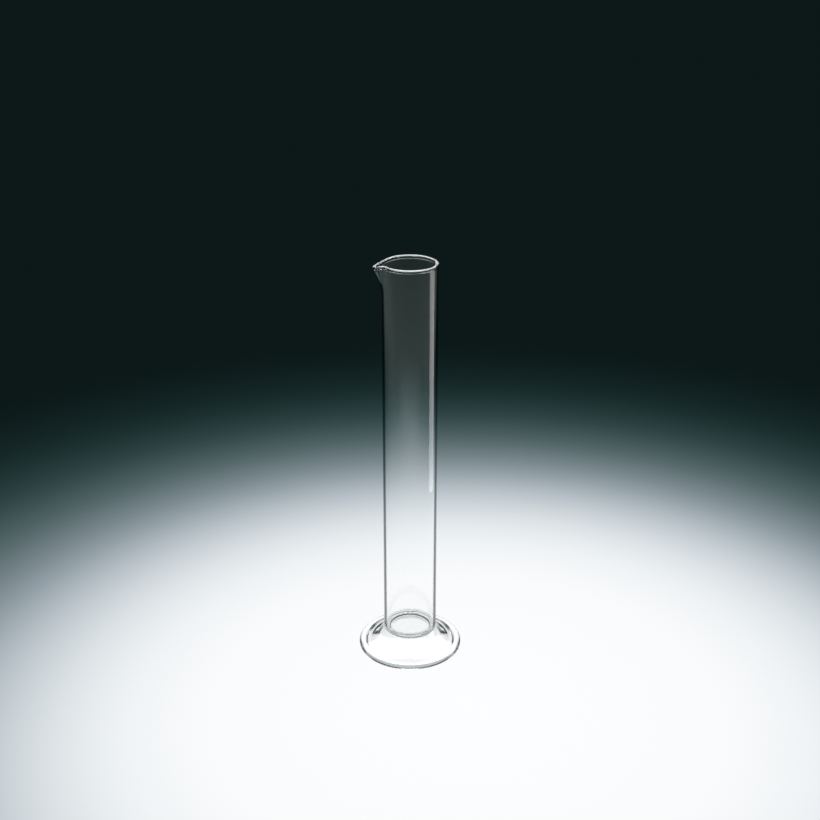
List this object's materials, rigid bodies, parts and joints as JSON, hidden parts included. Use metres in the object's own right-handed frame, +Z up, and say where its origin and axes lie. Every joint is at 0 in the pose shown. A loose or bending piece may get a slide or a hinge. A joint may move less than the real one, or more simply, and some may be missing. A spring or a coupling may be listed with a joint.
{
  "type": "graduated cylinder",
  "caption": "Tall straight clear-glass cylinder with a beaded rim and a pulled pouring spout, fused onto a wide round domed foot.",
  "frame": {"origin": "on the tube's axis, at the flat ring that the foot stands on", "axes": "+Z up along the tube's axis; the pouring spout points along -X"},
  "size_m": [0.098, 0.098, 0.385],
  "materials": {
    "clear_glass": "fire-polished, colourless, very faint grey-green in thick sections",
    "foot_glass": "blown thin and fire-polished, colourless, faint grey-green in the thick edge"
  },
  "bodies": {
    "root": {"tube_wall": "clear_glass", "rim_bead": "clear_glass", "pouring_spout": "clear_glass", "tube_floor": "clear_glass", "fused_neck": "foot_glass", "foot_dome": "foot_glass", "foot_rim": "foot_glass"}
  },
  "joints": []
}
